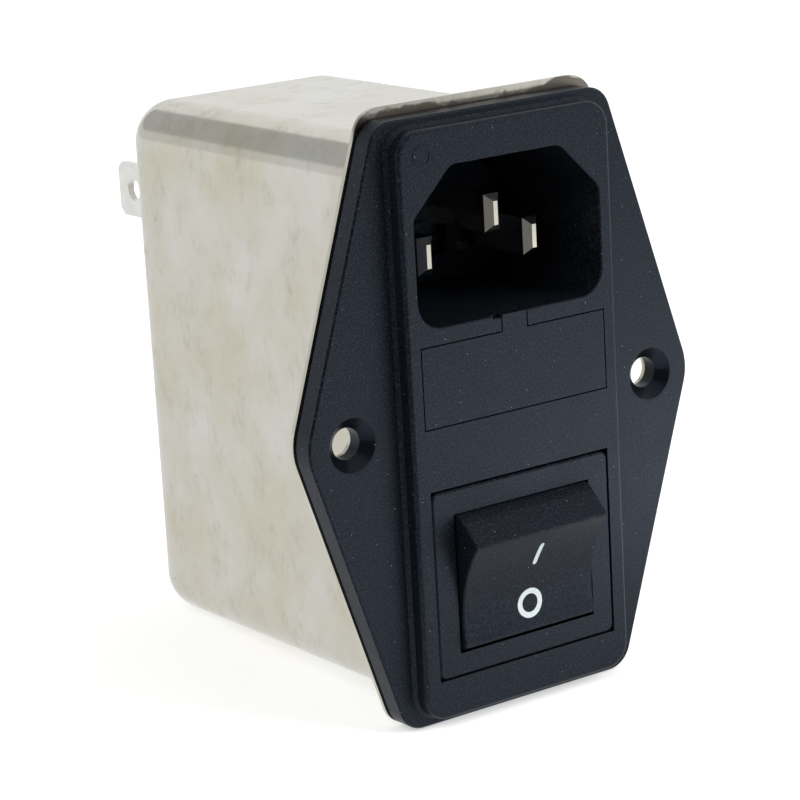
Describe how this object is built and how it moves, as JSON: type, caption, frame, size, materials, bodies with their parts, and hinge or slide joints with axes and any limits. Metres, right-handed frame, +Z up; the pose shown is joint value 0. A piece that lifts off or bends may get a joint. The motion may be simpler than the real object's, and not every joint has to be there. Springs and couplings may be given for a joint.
{
  "type": "c14 panel inlet socket",
  "caption": "Panel-mounted mains inlet with a three-pin plug bay, a fuse drawer, a rocker switch and a filter in a metal can.",
  "frame": {"origin": "midway between the two screw holes, on the rear face of the can's flange, which seats on the panel", "axes": "+Z up towards the plug bay, +Y out of the back through the can, front facing -Y"},
  "size_m": [0.0508, 0.0656, 0.0661],
  "materials": {
    "moulded_plastic": "satin, very dark blue-grey",
    "rocker_plastic": "satin, very dark blue-grey",
    "bush_plastic": "satin black",
    "can_nickel": "nickel-plated sheet, satin",
    "pin_nickel": "bright nickel plate on brass",
    "terminal_nickel": "nickel plate on brass strip",
    "contact_brass": "bare brass strip",
    "spring_steel": "bright wire",
    "cap_nickel": "bright nickel",
    "fuse_glass": "clear tube",
    "board_laminate": "resin-bonded board",
    "liner_sheet": "insulating pressboard",
    "core_ferrite": "coated core",
    "separator_plastic": "natural nylon",
    "winding_copper": "enamelled copper wire",
    "capacitor_yellow": "gloss",
    "capacitor_blue": "dipped disc",
    "resistor_body": "lacquered",
    "lead_brown": "insulated wire",
    "lead_blue": "insulated wire",
    "lead_green": "insulated wire"
  },
  "bodies": {
    "inlet": {"front_housing": "moulded_plastic", "filter_can": "can_nickel", "contact_carrier": "moulded_plastic", "line_pin": "pin_nickel", "neutral_pin": "pin_nickel", "earth_pin": "pin_nickel", "fuse_clip_left": "contact_brass", "fuse_clip_right": "contact_brass", "switch_frame": "moulded_plastic", "centre_terminal_left": "terminal_nickel", "fixed_terminal_left": "terminal_nickel", "centre_terminal_right": "terminal_nickel", "fixed_terminal_right": "terminal_nickel", "filter_board": "board_laminate", "insulating_liner": "liner_sheet", "choke_core": "core_ferrite", "choke_separator": "separator_plastic", "line_winding": "winding_copper", "neutral_winding": "winding_copper", "x_capacitor": "capacitor_yellow", "line_y_capacitor": "capacitor_blue", "neutral_y_capacitor": "capacitor_blue", "bleed_resistor": "resistor_body", "line_tab": "terminal_nickel", "neutral_tab": "terminal_nickel", "line_bush": "bush_plastic", "neutral_bush": "bush_plastic", "earth_tab": "terminal_nickel", "earth_rivet": "terminal_nickel", "line_lead": "lead_brown", "fused_line_lead": "lead_brown", "neutral_lead": "lead_blue", "earth_lead": "lead_green", "switched_line_lead": "lead_brown", "switched_neutral_lead": "lead_blue"},
    "rocker": {"rocker": "rocker_plastic", "plungers": "separator_plastic", "plunger_springs": "spring_steel"},
    "contact_levers": {"contact_lever_left": "contact_brass", "contact_lever_right": "contact_brass"},
    "drawer": {"fuse_drawer": "moulded_plastic", "fuse_tube": "fuse_glass", "fuse_caps": "cap_nickel", "fuse_wire": "spring_steel", "spare_fuse_tube": "fuse_glass", "spare_fuse_caps": "cap_nickel", "spare_fuse_wire": "spring_steel"}
  },
  "joints": [
    {"name": "rocker_tilt", "type": "hinge", "parent": "inlet", "child": "rocker", "pos_m": [0, -0.0023, -0.01696], "axis": [1, 0, 0], "range_deg": [-28, 0]},
    {"name": "lever_tilt", "type": "hinge", "parent": "inlet", "child": "contact_levers", "pos_m": [0, 0.0051, -0.01696], "axis": [1, 0, 0], "range_deg": [0, 20]},
    {"name": "drawer_slide", "type": "slide", "parent": "inlet", "child": "drawer", "axis": [0, -1, 0], "range_m": [0, 0.016]}
  ],
  "couplings": [
    {"joint": "lever_tilt", "follows": "rocker_tilt", "ratio": -0.71428}
  ]
}
